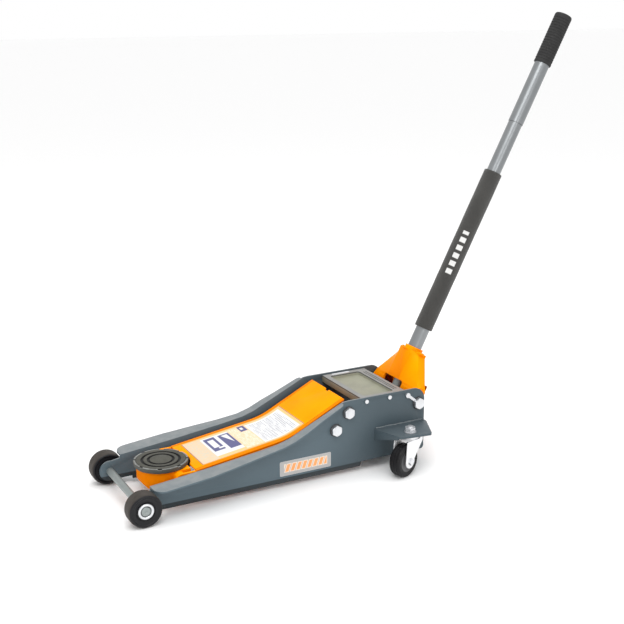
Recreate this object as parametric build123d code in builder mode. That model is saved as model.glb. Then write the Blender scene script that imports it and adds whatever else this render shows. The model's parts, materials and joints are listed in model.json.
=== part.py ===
"""Low hydraulic trolley jack with an upright pumping handle.

Axes: +X is forward (the saddle end), +Y is the jack's left, +Z is up, and the
floor is Z = 0.  Lengths are millimetres.  Stations along the jack are given as
distances behind the front axle.
"""
from build123d import *
import os
from math import cos, radians, sin

os.makedirs("parts", exist_ok=True)

# ---------------------------------------------------------------- driving sizes
front_axle_x = 532.69         # front axle, forward of the middle of the whole jack

wheel_radius = 35.0
wheel_width = 34.0
wheel_gap = 4.5               # between a side plate and its front wheel
axle_radius = 8.0

plate_outer_y = 95.0
plate_thickness = 4.0
plate_inner_y = plate_outer_y - plate_thickness
flange_outer_y = 134.0

arm_pivot = (473.0, 142.5)    # behind the front axle, above the floor
rod_pivot = (442.0, 108.5)
head_pin = (100.0, 57.0)
link_pin = (head_pin[0] - arm_pivot[0] + rod_pivot[0], head_pin[1] - arm_pivot[1] + rod_pivot[1])
arm_half_width = 74.0
cheek_thickness = 6.0
rod_inner_y = 77.5
rod_thickness = 5.5

saddle_behind = 81.5
saddle_radius = 56.5
saddle_top = 80.0

ear_length = 58.0             # lift-arm pivot to the lift roller
ear_angle = 29.0              # behind straight down, with the arm lowered
roller_radius = 11.0
ram_height = 86.0
ram_radius = 14.0

socket_pivot = (650.5, 134.0)
handle_lean = 62.25           # above the floor, leaning back
lever_length = 26.0
lever_angle = 18.0
handle_radius = 16.0
upper_radius = 17.2
handle_joint = 664.0          # along the handle from the socket pivot
handle_end = 930.0

caster_pivot = (598.0, 146.0)     # behind the front axle, out from the middle
caster_radius = 36.0
caster_width = 29.0
caster_trail = 23.0
caster_turn = 22.0

running_gap = 0.06            # radial, between a pin and its bore


def behind(distance):
    """X of a station behind the front axle."""
    return front_axle_x - distance


def at(point):
    """Side-view point (behind the front axle, height) as sketch coordinates."""
    return (behind(point[0]), point[1])


def side_view(y):
    """Upright plane along the jack at Y = y; extrusion runs towards -Y."""
    return Plane.XZ.offset(-y)


def save(part, name):
    part.label = name
    export_step(part, f"parts/{name}.step")


def save_pair(part, stem):
    """Save a left part and its mirror image on the right."""
    save(part, f"{stem}_left")
    save(part.mirror(Plane.XZ), f"{stem}_right")


# ---------------------------------------------------------------- side plates
flange_line = [(24, 67.5), (46, 69.5), (150, 80.5), (262, 94.5), (308, 101.5), (336, 110), (462, 168), (474, 169)]
flange_bottom = [(b, z - 3.5) for b, z in flange_line]
lip_front, lip_rear = 48.0, 507.0
lip_top, lip_bottom = 24.0, 10.0

with BuildPart() as side_plate_left:
    # flange turned outward along the top
    with BuildSketch(side_view(flange_outer_y)):
        with BuildLine():
            Polyline(*[at(p) for p in flange_line + flange_bottom[::-1]], close=True)
        make_face()
    extrude(amount=flange_outer_y - plate_inner_y)
    with BuildSketch(Plane.XY):
        with BuildLine():
            Polyline(
                (behind(24), plate_inner_y), (behind(24), flange_outer_y), (behind(140), flange_outer_y),
                (behind(200), 127.5), (behind(250), 121), (behind(300), 116.5), (behind(365), 115),
                (behind(400), 110), (behind(458), 106), (behind(458), plate_inner_y), close=True,
            )
        make_face()
        fillet(vertices().sort_by_distance((behind(24), flange_outer_y))[0], 24)
        fillet(vertices().sort_by_distance((behind(140), flange_outer_y))[0], 60)
        fillet(vertices().sort_by_distance((behind(458), 106))[0], 9)
    extrude(amount=200, mode=Mode.INTERSECT)
    # upright panel with the rounded nose round the axle
    with BuildSketch(side_view(plate_outer_y)):
        with BuildLine():
            Polyline(
                at((0, 14)), at((lip_front, lip_top - 9)), at((lip_front, lip_top)), at((lip_rear, lip_top)),
                at((667, lip_top)), at((667, 169)), *[at(p) for p in flange_line[::-1]],
                at((24, 60)), at((0, 56)), close=True,
            )
        make_face()
        fillet(vertices().sort_by_distance(at((667, 169)))[0], 27)
        fillet(vertices().sort_by_distance(at((667, lip_top)))[0], 8)
        with Locations(at((0, wheel_radius))):
            Circle(22)
    extrude(amount=plate_thickness)
    # lip folded inward along the bottom
    with BuildSketch(Plane.YZ.offset(behind(lip_rear))):
        with BuildLine():
            Polyline(
                (plate_outer_y, lip_top + 1), (plate_outer_y, lip_top), (plate_outer_y - 7, lip_bottom),
                (plate_inner_y - 6.6, lip_bottom + 1), (plate_inner_y, lip_top + 1), close=True,
            )
        make_face()
    extrude(amount=lip_rear - lip_front)
    # holes for the axle, pivots and screws
    with Locations(side_view(plate_outer_y)):
        with Locations(at((0, wheel_radius))):
            Hole(axle_radius, 3 * plate_thickness)
        with Locations(at(arm_pivot)):
            Hole(10, 3 * plate_thickness)
        with Locations(at(rod_pivot)):
            Hole(7, 3 * plate_thickness)
        with Locations(at(socket_pivot)):
            Hole(8, 3 * plate_thickness)
        with Locations(at((518, 160)), at((576, 160)), at((622, 157))):
            Hole(3, 3 * plate_thickness)
save_pair(side_plate_left.part, "side_plate")

# ---------------------------------------------------------------- front axle and wheels
wheel_inner_y = plate_outer_y + wheel_gap
wheel_outer_y = wheel_inner_y + wheel_width

with BuildPart() as front_axle:
    with BuildSketch(side_view(0)):
        with Locations(at((0, wheel_radius))):
            Circle(axle_radius)
    extrude(amount=wheel_outer_y - 3, both=True)
save(front_axle.part, "front_axle")

with BuildPart() as front_wheel:
    with BuildSketch(side_view(wheel_outer_y)):
        with Locations(at((0, wheel_radius))):
            Circle(wheel_radius)
            Circle(axle_radius + running_gap, mode=Mode.SUBTRACT)
    extrude(amount=wheel_width)
    rims = edges().filter_by(GeomType.CIRCLE).group_by(SortBy.RADIUS)[-1]
    fillet(rims, 5)
    with BuildSketch(side_view(wheel_outer_y)):
        with Locations(at((0, wheel_radius))):
            Circle(19)
    extrude(amount=4, mode=Mode.SUBTRACT)
save_pair(front_wheel.part, "front_wheel")

with BuildPart() as axle_cap:
    with BuildSketch(side_view(wheel_outer_y + 0.5)):
        with Locations(at((0, wheel_radius))):
            Circle(16.5)
    extrude(amount=3.5)
    with BuildSketch(side_view(wheel_outer_y + 0.5)):
        with Locations(at((0, wheel_radius))):
            Circle(12.5)
            Circle(10.0, mode=Mode.SUBTRACT)
    extrude(amount=2, mode=Mode.SUBTRACT)
save_pair(axle_cap.part, "axle_cap")

# ---------------------------------------------------------------- cross members
with BuildPart() as base_plate:
    with BuildSketch(Plane.XY.offset(lip_top + 0.5)):
        with Locations((behind(590), 0)):
            Rectangle(140, 2 * plate_inner_y)
    extrude(amount=4)
save(base_plate.part, "base_plate")

with BuildPart() as tie_bar:
    with BuildSketch(side_view(0)):
        with Locations(at((330, 33))):
            Circle(6)
    extrude(amount=plate_inner_y, both=True)
save(tie_bar.part, "tie_bar")

with BuildPart() as spring_bar:
    with BuildSketch(side_view(0)):
        with Locations(at((646, 60))):
            Circle(5)
    extrude(amount=plate_inner_y, both=True)
save(spring_bar.part, "spring_bar")

# ---------------------------------------------------------------- tool tray
tray_front, tray_rear = 510.0, 620.0
tray_top = 166.0
tray_half_width = plate_inner_y - 0.2

with BuildPart() as tray:
    with BuildSketch(Plane.XY.offset(tray_top)):
        with Locations((behind((tray_front + tray_rear) / 2), 0)):
            Rectangle(tray_rear - tray_front, 2 * tray_half_width)
    extrude(amount=-16)
    fillet(edges().filter_by(Axis.X).group_by(Axis.Z)[-1], 2.5)
    with BuildSketch(Plane.XY.offset(tray_top)):
        with Locations((behind(tray_front + 50), 0)):
            RectangleRounded(76, 152, 6)
    extrude(amount=-8, mode=Mode.SUBTRACT)
    with BuildSketch(Plane.XY.offset(tray_top - 16)):
        with Locations((behind((tray_front + tray_rear) / 2), 0)):
            Rectangle(tray_rear - tray_front - 5, 2 * tray_half_width - 5)
    extrude(amount=13.5, mode=Mode.SUBTRACT)
    with BuildSketch(Plane.XY.offset(tray_top - 8)):
        with Locations((behind(tray_front + 50), 0)):
            RectangleRounded(81, 157, 8)
            RectangleRounded(76, 152, 6, mode=Mode.SUBTRACT)
    extrude(amount=6)
    with BuildSketch(Plane.XY.offset(tray_top - 8)):
        with Locations((behind(tray_front + 50), 0)):
            RectangleRounded(81, 157, 8)
    extrude(amount=-2.5)
    # two pressed grooves behind the recess
    with BuildSketch(Plane.XY.offset(tray_top)):
        with Locations((behind(tray_rear - 15), 0), (behind(tray_rear - 9), 0)):
            Rectangle(2.4, 2 * tray_half_width - 46)
    extrude(amount=-1.2, mode=Mode.SUBTRACT)
save(tray.part, "tray")

# ---------------------------------------------------------------- fixed pivots and fasteners
head_flat = 22.0


def hex_head(point, flats):
    """Washer and hexagon head on the outside of the left side plate."""
    with BuildPart() as head:
        with BuildSketch(side_view(plate_outer_y)):
            with Locations(at(point)):
                Circle(flats * 0.62)
        extrude(amount=-1.8)
        with BuildSketch(side_view(plate_outer_y + 1.8)):
            with Locations(at(point)):
                RegularPolygon(flats / 2, 6, major_radius=False)
        extrude(amount=-7)
    return head.part


with BuildPart() as lift_pivot_bolt:
    with BuildSketch(side_view(0)):
        with Locations(at(arm_pivot)):
            Circle(10)
    extrude(amount=plate_outer_y, both=True)
    add(hex_head(arm_pivot, head_flat))
    mirror(about=Plane.XZ)
save(lift_pivot_bolt.part, "lift_pivot_bolt")

with BuildPart() as rod_bolt:
    with BuildSketch(side_view(plate_outer_y)):
        with Locations(at(rod_pivot)):
            Circle(7)
    extrude(amount=plate_outer_y - rod_inner_y + 1)
    add(hex_head(rod_pivot, head_flat))
save_pair(rod_bolt.part, "rod_bolt")

with BuildPart() as socket_bolt:
    with BuildSketch(side_view(plate_outer_y)):
        with Locations(at(socket_pivot)):
            Circle(8)
    extrude(amount=plate_outer_y - 76)
    add(hex_head(socket_pivot, 23))
save_pair(socket_bolt.part, "socket_bolt")

with BuildPart() as small_screws:
    for y_side in (1, -1):
        with BuildSketch(side_view(y_side * plate_outer_y)):
            with Locations(at((518, 160)), at((576, 160))):
                Circle(4.5)
        extrude(amount=-2.5 * y_side)
        with BuildSketch(side_view(y_side * plate_outer_y)):
            with Locations(at((622, 157))):
                Circle(5.5)
        extrude(amount=-4 * y_side)
        with BuildSketch(side_view(y_side * plate_outer_y)):
            with Locations(at((518, 160)), at((576, 160)), at((622, 157))):
                Circle(3)
        extrude(amount=plate_thickness * y_side)
save(small_screws.part, "small_screws")

# ---------------------------------------------------------------- hydraulic unit
body_front, body_rear = 595.5, 623.5
plunger_height = 108.0
valve_height = socket_pivot[1]

with BuildPart() as pump_body:
    with BuildSketch(Plane.XY.offset(lip_top + 4.5)):
        with Locations((behind((body_front + body_rear) / 2), 0)):
            Rectangle(body_rear - body_front, 50)
    extrude(amount=144 - lip_top - 4.5)
    fillet(edges().filter_by(Axis.Z), 3)
    chamfer(edges().group_by(Axis.Z)[-1], 2)
    with BuildSketch(Plane.YZ.offset(behind(body_rear))):
        with Locations((0, plunger_height)):
            Circle(8 + running_gap)
        with Locations((0, valve_height)):
            Circle(5 + running_gap)
    extrude(amount=24, mode=Mode.SUBTRACT)
save(pump_body.part, "pump_body")

cylinder_front = 523.0
with BuildPart() as cylinder:
    with BuildSketch(Plane.YZ.offset(behind(body_front))):
        with Locations((0, ram_height)):
            Circle(25)
            Circle(ram_radius + running_gap, mode=Mode.SUBTRACT)
    extrude(amount=body_front - cylinder_front)
    with BuildSketch(Plane.YZ.offset(behind(cylinder_front + 10))):
        with Locations((0, ram_height)):
            Circle(27.5)
            Circle(24, mode=Mode.SUBTRACT)
    extrude(amount=10)
save(cylinder.part, "cylinder")

with BuildPart() as cylinder_cradle:
    with BuildSketch(Plane.YZ.offset(behind(560))):
        with Locations((0, (lip_top + 4.5 + ram_height - 12) / 2)):
            Rectangle(44, ram_height - 12 - lip_top - 4.5)
        with Locations((0, ram_height)):
            Circle(25, mode=Mode.SUBTRACT)
    extrude(amount=14)
save(cylinder_cradle.part, "cylinder_cradle")

# roller position with the arm lowered
roller_centre = (
    arm_pivot[0] + ear_length * sin(radians(ear_angle)),
    arm_pivot[1] - ear_length * cos(radians(ear_angle)),
)
ram_face = roller_centre[0] + roller_radius + 0.8

with BuildPart() as ram:
    with BuildSketch(Plane.YZ.offset(behind(body_front - 1))):
        with Locations((0, ram_height)):
            Circle(ram_radius)
    extrude(amount=body_front - 1 - ram_face - 6)
save(ram.part, "ram")

with BuildPart() as ram_head:
    with BuildSketch(Plane.YZ.offset(behind(ram_face + 6))):
        with Locations((0, ram_height)):
            Circle(15)
    extrude(amount=6)
    fillet(edges().filter_by(GeomType.CIRCLE), 1)
save(ram_head.part, "ram_head")

lever_roller = (
    socket_pivot[0] + lever_length * sin(radians(lever_angle)),
    socket_pivot[1] - lever_length * cos(radians(lever_angle)),
)
plunger_face = lever_roller[0] - 8 - 0.9

with BuildPart() as pump_plunger:
    with BuildSketch(Plane.YZ.offset(behind(plunger_face))):
        with Locations((0, plunger_height)):
            Circle(11)
    extrude(amount=4)
    with BuildSketch(Plane.YZ.offset(behind(plunger_face))):
        with Locations((0, plunger_height)):
            Circle(8)
    extrude(amount=plunger_face - body_rear + 1)
save(pump_plunger.part, "pump_plunger")

with BuildPart() as release_valve:
    with BuildSketch(Plane.YZ.offset(behind(socket_pivot[0]))):
        with Locations((0, valve_height)):
            Circle(5)
    extrude(amount=socket_pivot[0] - body_rear + 23)
    with Locations((behind(socket_pivot[0]), 0, valve_height)):
        Sphere(8)
    with BuildSketch(Plane.YZ.offset(behind(body_rear + 4))):
        with Locations((0, valve_height)):
            RegularPolygon(7.5, 6)
    extrude(amount=3)
save(release_valve.part, "release_valve")

# ---------------------------------------------------------------- lift arm
cover_line = [(131, 72.5), (342, 102.4), (475, 167)]
cover_under = [(b, z - 4) for b, z in cover_line]

with BuildPart() as arm_cover:
    with BuildSketch(side_view(0)):
        with BuildLine():
            Polyline(*[at(p) for p in cover_line + cover_under[::-1]], close=True)
        make_face()
        fillet(vertices().sort_by_distance(at(cover_line[1]))[0], 160)
        fillet(vertices().sort_by_distance(at(cover_under[1]))[0], 164)
    extrude(amount=arm_half_width, both=True)
    with BuildSketch(Plane.XY.offset(100)):
        with Locations((behind(475), 0)):
            Rectangle(8, 12)
    extrude(amount=100, mode=Mode.SUBTRACT)
    # front edge rounded to follow the saddle
    with BuildSketch(Plane.XY.offset(50)):
        with Locations((behind(saddle_behind), 0)):
            Circle(saddle_radius + 4)
    extrude(amount=50, mode=Mode.SUBTRACT)
save(arm_cover.part, "arm_cover")

with BuildPart() as arm_cheek:
    with BuildSketch(side_view(arm_half_width)):
        with BuildLine():
            Polyline(
                at(head_pin), at((100, 71)), at((130.9, 71)), at((130.9, 68.4)), at((342, 98.3)), at((462, 156.5)),
                at(arm_pivot), at((455, 125)), at((420, 104)), at((250, 46)), at((100, 43)), close=True,
            )
        make_face()
        fillet(vertices().sort_by_distance(at((342, 98.3)))[0], 164.1)
        fillet(vertices().sort_by_distance(at((420, 104)))[0], 60)
        fillet(vertices().sort_by_distance(at((250, 46)))[0], 120)
        with Locations(at(head_pin)):
            Circle(14)
        with Locations(at(arm_pivot)):
            Circle(14.5)
        with Locations(at(head_pin)):
            Circle(8, mode=Mode.SUBTRACT)
        with Locations(at(arm_pivot)):
            Circle(10 + running_gap, mode=Mode.SUBTRACT)
    extrude(amount=cheek_thickness)
save_pair(arm_cheek.part, "arm_cheek")

with BuildPart() as arm_hub:
    with BuildSketch(side_view(0)):
        with Locations(at(arm_pivot)):
            Circle(14.5)
    extrude(amount=arm_half_width - cheek_thickness, both=True)
    for ear_y in (26, -16):
        with BuildSketch(side_view(ear_y)):
            with Locations(at(arm_pivot)):
                Circle(14.5)
            with Locations(at(roller_centre)):
                Circle(9)
            make_hull()
        extrude(amount=10)
    with BuildSketch(side_view(100)):
        with Locations(at(arm_pivot)):
            Circle(10 + running_gap)
        with Locations(at(roller_centre)):
            Circle(5)
    extrude(amount=200, mode=Mode.SUBTRACT)
save(arm_hub.part, "arm_hub")

with BuildPart() as lift_roller:
    with BuildSketch(side_view(0)):
        with Locations(at(roller_centre)):
            Circle(roller_radius)
            Circle(5, mode=Mode.SUBTRACT)
    extrude(amount=15.5, both=True)
save(lift_roller.part, "lift_roller")

with BuildPart() as roller_pin:
    with BuildSketch(side_view(0)):
        with Locations(at(roller_centre)):
            Circle(5)
    extrude(amount=42, both=True)
save(roller_pin.part, "roller_pin")

with BuildPart() as head_pin_shaft:
    with BuildSketch(side_view(0)):
        with Locations(at(head_pin)):
            Circle(8)
    extrude(amount=arm_half_width, both=True)
save(head_pin_shaft.part, "head_pin")

# ---------------------------------------------------------------- saddle bracket
bracket_front, bracket_rear = 30.5, 127.0
bracket_top = saddle_top - 10.5

with BuildPart() as saddle_bracket:
    # round in front under the saddle, square behind
    with BuildSketch(Plane.XY.offset(35)):
        with Locations((behind(saddle_behind), 0)):
            Circle(saddle_behind - bracket_front)
        with Locations((behind((saddle_behind + bracket_rear) / 2), 0)):
            Rectangle(bracket_rear - saddle_behind, 2 * (saddle_behind - bracket_front))
    extrude(amount=bracket_top - 35)
    with BuildSketch(side_view(0)):
        with BuildLine():
            Polyline(
                at((30, 46)), at((30, bracket_top)), at((140, bracket_top)), at((140, 46)),
                at((bracket_rear, 44)), at((115, 35)), at((41, 35)), close=True,
            )
        make_face()
    extrude(amount=60, both=True, mode=Mode.INTERSECT)
    with BuildSketch(side_view(0)):
        with Locations(at(head_pin)):
            Circle(12)
    extrude(amount=arm_half_width - cheek_thickness - 0.6, both=True)
    for lug_y in (50, -40):
        with BuildSketch(side_view(lug_y)):
            with Locations(at((80, 50))):
                Circle(12)
            with Locations(at(link_pin)):
                Circle(9)
            make_hull()
        extrude(amount=10)
    with BuildSketch(side_view(100)):
        with Locations(at(head_pin)):
            Circle(8 + running_gap)
        with Locations(at(link_pin)):
            Circle(6)
    extrude(amount=200, mode=Mode.SUBTRACT)
    with BuildSketch(Plane.XY.offset(bracket_top)):
        with Locations((behind(saddle_behind), 0)):
            Circle(8 + running_gap)
    extrude(amount=-26, mode=Mode.SUBTRACT)
save(saddle_bracket.part, "saddle_bracket")

with BuildPart() as link_pin_shaft:
    with BuildSketch(side_view(0)):
        with Locations(at(link_pin)):
            Circle(6)
    extrude(amount=rod_inner_y + rod_thickness + 1, both=True)
save(link_pin_shaft.part, "link_pin")

# ---------------------------------------------------------------- saddle
with BuildPart() as saddle:
    with BuildSketch(Plane.XY.offset(bracket_top + 0.4)):
        with Locations((behind(saddle_behind), 0)):
            Circle(saddle_radius)
    extrude(amount=saddle_top - bracket_top - 0.4)
    fillet(edges().group_by(Axis.Z)[0], 3)
    fillet(edges().group_by(Axis.Z)[-1], 1.2)
    with BuildSketch(Plane.XY.offset(saddle_top)):
        with Locations((behind(saddle_behind), 0)):
            Circle(saddle_radius - 4.5)
    extrude(amount=-6.5, mode=Mode.SUBTRACT)
    # shallow notches round the rim
    with BuildSketch(Plane.XY.offset(saddle_top)):
        with Locations((behind(saddle_behind), 0)):
            with PolarLocations(saddle_radius, 8, 22.5):
                Rectangle(16, 9)
    extrude(amount=-2.2, mode=Mode.SUBTRACT)
    with BuildSketch(Plane.XY.offset(bracket_top + 1)):
        with Locations((behind(saddle_behind), 0)):
            Circle(8)
    extrude(amount=-25)
save(saddle.part, "saddle")

with BuildPart() as saddle_pad:
    with BuildSketch(Plane.XY.offset(saddle_top - 6.5)):
        with Locations((behind(saddle_behind), 0)):
            Circle(saddle_radius - 4.7)
    extrude(amount=6.5)
    with BuildSketch(Plane.XY.offset(saddle_top)):
        with Locations((behind(saddle_behind), 0)):
            Circle(41)
            Circle(36.5, mode=Mode.SUBTRACT)
            Circle(28)
            Circle(23.5, mode=Mode.SUBTRACT)
    extrude(amount=-3, mode=Mode.SUBTRACT)
save(saddle_pad.part, "saddle_pad")

# ---------------------------------------------------------------- levelling rods
with BuildPart() as levelling_rod:
    with BuildSketch(side_view(rod_inner_y + rod_thickness)):
        with BuildLine():
            Line(at(rod_pivot), at(link_pin))
        trace(line_width=13)
        with Locations(at(rod_pivot)):
            Circle(12)
        with Locations(at(link_pin)):
            Circle(9.5)
        with Locations(at(rod_pivot)):
            Circle(7 + running_gap, mode=Mode.SUBTRACT)
        with Locations(at(link_pin)):
            Circle(6 + 0.1, mode=Mode.SUBTRACT)
    extrude(amount=rod_thickness)
save_pair(levelling_rod.part, "levelling_rod")

# ---------------------------------------------------------------- return springs
spring_y = 34.0
spring_pitch = 6.0


with BuildPart() as return_spring:
    reach = ((646 - roller_centre[0]) ** 2 + (roller_centre[1] - 60) ** 2) ** 0.5
    start = Vector(behind(roller_centre[0]), spring_y, roller_centre[1])
    finish = Vector(behind(646), spring_y, 60)
    along = (finish - start).normalized()
    with BuildLine() as coil:
        Helix(spring_pitch, reach - 24, 5.5, center=start + along * 12, direction=along)
    with BuildSketch(Plane(origin=coil.line @ 0, z_dir=coil.line % 0)):
        Circle(1.4)
    sweep(path=coil.line)
save_pair(return_spring.part, "return_spring")

# ---------------------------------------------------------------- handle socket
handle_dir = Vector(-cos(radians(handle_lean)), 0, sin(radians(handle_lean)))
front_dir = Vector(sin(radians(handle_lean)), 0, cos(radians(handle_lean)))
socket_origin = Vector(behind(socket_pivot[0]), 0, socket_pivot[1])


def across_handle(distance):
    """Plane square to the handle, a distance along it from the socket pivot."""
    return Plane(origin=socket_origin + handle_dir * distance, x_dir=(0, 1, 0), z_dir=handle_dir)


def face_of_handle(forward):
    """Plane along the handle and across the jack; local y runs up the handle."""
    return Plane(origin=socket_origin + front_dir * forward, x_dir=(0, 1, 0), z_dir=front_dir)


def back_of_handle(backward):
    """Plane along the back of the handle, facing away from it."""
    return Plane(origin=socket_origin - front_dir * backward, x_dir=(0, -1, 0), z_dir=-front_dir)


socket_half_width = 86.0
# outline at stations up the handle: station, half width, reach of the side edges
socket_stations = [(10, 86, 10), (26, 86, 10), (43, 72, 9), (93, 35, 6), (100, 35, 6)]


def socket_section(station, half_width, edge, wall=0.0):
    """Faceted outline of the socket, square to the handle, a wall's depth inside; front is -y."""
    half, side, middle = half_width - wall, edge - wall, handle_radius + 5.5 - wall
    with BuildSketch(across_handle(station)) as section:
        with BuildLine():
            Polyline(
                (-half, 14 + wall), (-half, -side), (-22, -middle),
                (22, -middle), (half, -side), (half, 14 + wall), close=True,
            )
        make_face()
    return section.sketch


with BuildPart() as handle_socket:
    loft([socket_section(*station) for station in socket_stations], ruled=True)
    # hollow behind the front, open below, behind and at the top
    hollow = [(4, 86, 10), *socket_stations[1:4], (106, 35, 6)]
    loft([socket_section(*station, 5.0) for station in hollow], ruled=True, mode=Mode.SUBTRACT)
    # arch between the feet
    with BuildSketch(face_of_handle(handle_radius + 8)):
        with Locations((0, 14)):
            RectangleRounded(74, 26, 6)
    extrude(amount=-30, mode=Mode.SUBTRACT)
    # side lugs round the pivot bolts
    for lug_y in (socket_half_width, -socket_half_width + 5):
        with BuildSketch(side_view(lug_y)):
            with Locations((socket_origin.X, socket_origin.Z)):
                Circle(17)
            foot = socket_origin + handle_dir * 22
            with Locations((foot.X, foot.Z)):
                Circle(10)
            make_hull()
        extrude(amount=5)
    # receiver for the handle, with a turned collar
    with BuildSketch(across_handle(27)):
        Circle(handle_radius + 5)
    extrude(amount=81)
    with BuildSketch(across_handle(97)):
        RectangleRounded(80, 16, 7)
        Circle(24)
    extrude(amount=5)
    # lever cheeks reaching down to the pump roller
    for cheek_y in (20.5, -16.5):
        with BuildSketch(side_view(cheek_y)):
            with Locations(at(lever_roller)):
                Circle(7)
            shoulder = socket_origin + handle_dir * 48
            with Locations((shoulder.X, shoulder.Z)):
                Circle(13)
            make_hull()
        extrude(amount=4)
    with BuildSketch(across_handle(110)):
        Circle(handle_radius + running_gap)
    extrude(amount=-110, mode=Mode.SUBTRACT)
    with BuildSketch(side_view(100)):
        with Locations((socket_origin.X, socket_origin.Z)):
            Circle(8 + running_gap)
    extrude(amount=24, mode=Mode.SUBTRACT)
    with BuildSketch(side_view(-76)):
        with Locations((socket_origin.X, socket_origin.Z)):
            Circle(8 + running_gap)
    extrude(amount=24, mode=Mode.SUBTRACT)
    with BuildSketch(side_view(30)):
        with Locations(at(lever_roller)):
            Circle(4)
    extrude(amount=60, mode=Mode.SUBTRACT)
save(handle_socket.part, "handle_socket")

with BuildPart() as pump_roller:
    with BuildSketch(side_view(0)):
        with Locations(at(lever_roller)):
            Circle(8)
            Circle(4, mode=Mode.SUBTRACT)
    extrude(amount=14, both=True)
save(pump_roller.part, "pump_roller")

with BuildPart() as pump_roller_pin:
    with BuildSketch(side_view(0)):
        with Locations(at(lever_roller)):
            Circle(4)
    extrude(amount=23, both=True)
save(pump_roller_pin.part, "pump_roller_pin")

# ---------------------------------------------------------------- handle
tube_wall = 2.0

with BuildPart() as handle_lower:
    with BuildSketch(across_handle(43)):
        Circle(handle_radius)
        Circle(handle_radius - tube_wall, mode=Mode.SUBTRACT)
    extrude(amount=handle_joint - 43)
    with BuildSketch(back_of_handle(handle_radius + 1)):
        with Locations((0, handle_joint - 30)):
            Circle(4.1)
    extrude(amount=-6, mode=Mode.SUBTRACT)
save(handle_lower.part, "handle_lower")

with BuildPart() as drive_cup:
    with BuildSketch(across_handle(4)):
        Circle(13)
    extrude(amount=50)
    with BuildSketch(across_handle(45)):
        Circle(handle_radius - tube_wall)
    extrude(amount=12)
    with BuildSketch(across_handle(4)):
        Circle(8.6)
    extrude(amount=9, mode=Mode.SUBTRACT)
save(drive_cup.part, "drive_cup")

with BuildPart() as foam_sleeve:
    with BuildSketch(across_handle(155)):
        Circle(21)
        Circle(handle_radius, mode=Mode.SUBTRACT)
    extrude(amount=388)
    fillet(edges().filter_by(GeomType.CIRCLE).group_by(SortBy.RADIUS)[-1], 2)
save(foam_sleeve.part, "foam_sleeve")

with BuildPart() as handle_upper:
    with BuildSketch(across_handle(handle_joint + 0.6)):
        Circle(upper_radius)
        Circle(upper_radius - tube_wall, mode=Mode.SUBTRACT)
    extrude(amount=handle_end - 6 - handle_joint - 0.6)
    # narrower spigot inside the lower tube
    with BuildSketch(across_handle(handle_joint - 60)):
        Circle(handle_radius - tube_wall)
        Circle(handle_radius - 2 * tube_wall, mode=Mode.SUBTRACT)
    extrude(amount=100)
    with BuildSketch(across_handle(handle_joint + 0.6)):
        Circle(upper_radius)
        Circle(handle_radius - 2 * tube_wall, mode=Mode.SUBTRACT)
    extrude(amount=12)
save(handle_upper.part, "handle_upper")

with BuildPart() as snap_button:
    with BuildSketch(back_of_handle(handle_radius - 2)):
        with Locations((0, handle_joint - 30)):
            Circle(4)
    extrude(amount=3.5)
    fillet(edges().filter_by(GeomType.CIRCLE).sort_by(Axis.X)[0], 1)
save(snap_button.part, "snap_button")

with BuildPart() as end_grip:
    with BuildSketch(across_handle(handle_end - 120)):
        Circle(20)
        Circle(upper_radius, mode=Mode.SUBTRACT)
    extrude(amount=120)
    with BuildSketch(across_handle(handle_end - 5)):
        Circle(20)
    extrude(amount=5)
    fillet(edges().filter_by(GeomType.CIRCLE).group_by(SortBy.RADIUS)[-1], 2.4)
save(end_grip.part, "end_grip")

# ---------------------------------------------------------------- rear casters
bracket_height = 88.0
pivot_x, pivot_y = behind(caster_pivot[0]), caster_pivot[1]

with BuildPart() as caster_bracket:
    with BuildSketch(Plane.XY.offset(bracket_height)):
        with BuildLine():
            Polyline(
                (behind(538), plate_outer_y), (behind(563), 164), (behind(636), 174), (behind(666), 106),
                (behind(666), plate_outer_y), close=True,
            )
        make_face()
        fillet(vertices().sort_by_distance((behind(563), 164))[0], 10)
        fillet(vertices().sort_by_distance((behind(636), 174))[0], 7)
        with Locations((pivot_x, pivot_y)):
            Circle(6, mode=Mode.SUBTRACT)
    extrude(amount=5)
    # sloping wall under the front edge
    wall = Plane(origin=(behind(538), plate_outer_y, 0), x_dir=(-25, 69, 0), z_dir=(69, 25, 0))
    with BuildSketch(wall):
        with BuildLine():
            Polyline((0, bracket_height), (0, 68), (66, 84), (66, bracket_height), close=True)
        make_face()
    extrude(amount=-4)
    with BuildSketch(Plane.XY.offset(60)):
        with Locations((behind(545), plate_outer_y - 10)):
            Rectangle(40, 20)
    extrude(amount=27.9, mode=Mode.SUBTRACT)
save_pair(caster_bracket.part, "caster_bracket")

with BuildPart() as caster_nut:
    with BuildSketch(Plane.XY.offset(bracket_height + 5)):
        with Locations((pivot_x, pivot_y)):
            Circle(13)
    extrude(amount=2)
    with BuildSketch(Plane.XY.offset(bracket_height + 7)):
        with Locations((pivot_x, pivot_y)):
            RegularPolygon(10.5, 6, major_radius=False)
    extrude(amount=9)
    with BuildSketch(Plane.XY.offset(bracket_height + 19)):
        with Locations((pivot_x, pivot_y)):
            Circle(6)
    extrude(amount=-34)
    with BuildSketch(Plane.XY.offset(bracket_height - 11)):
        with Locations((pivot_x, pivot_y)):
            Circle(10)
    extrude(amount=-3)
save_pair(caster_nut.part, "caster_stud")

turn = radians(caster_turn)
roll_dir = Vector(cos(turn), sin(turn), 0)       # way the trailing wheel points
axle_dir = Vector(-sin(turn), cos(turn), 0)
caster_centre = Vector(pivot_x, pivot_y, caster_radius) + roll_dir * caster_trail


def caster_side(offset):
    """Upright plane along the caster wheel, an offset out along its axle."""
    return Plane(origin=caster_centre + axle_dir * offset, x_dir=roll_dir, z_dir=-axle_dir)


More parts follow.
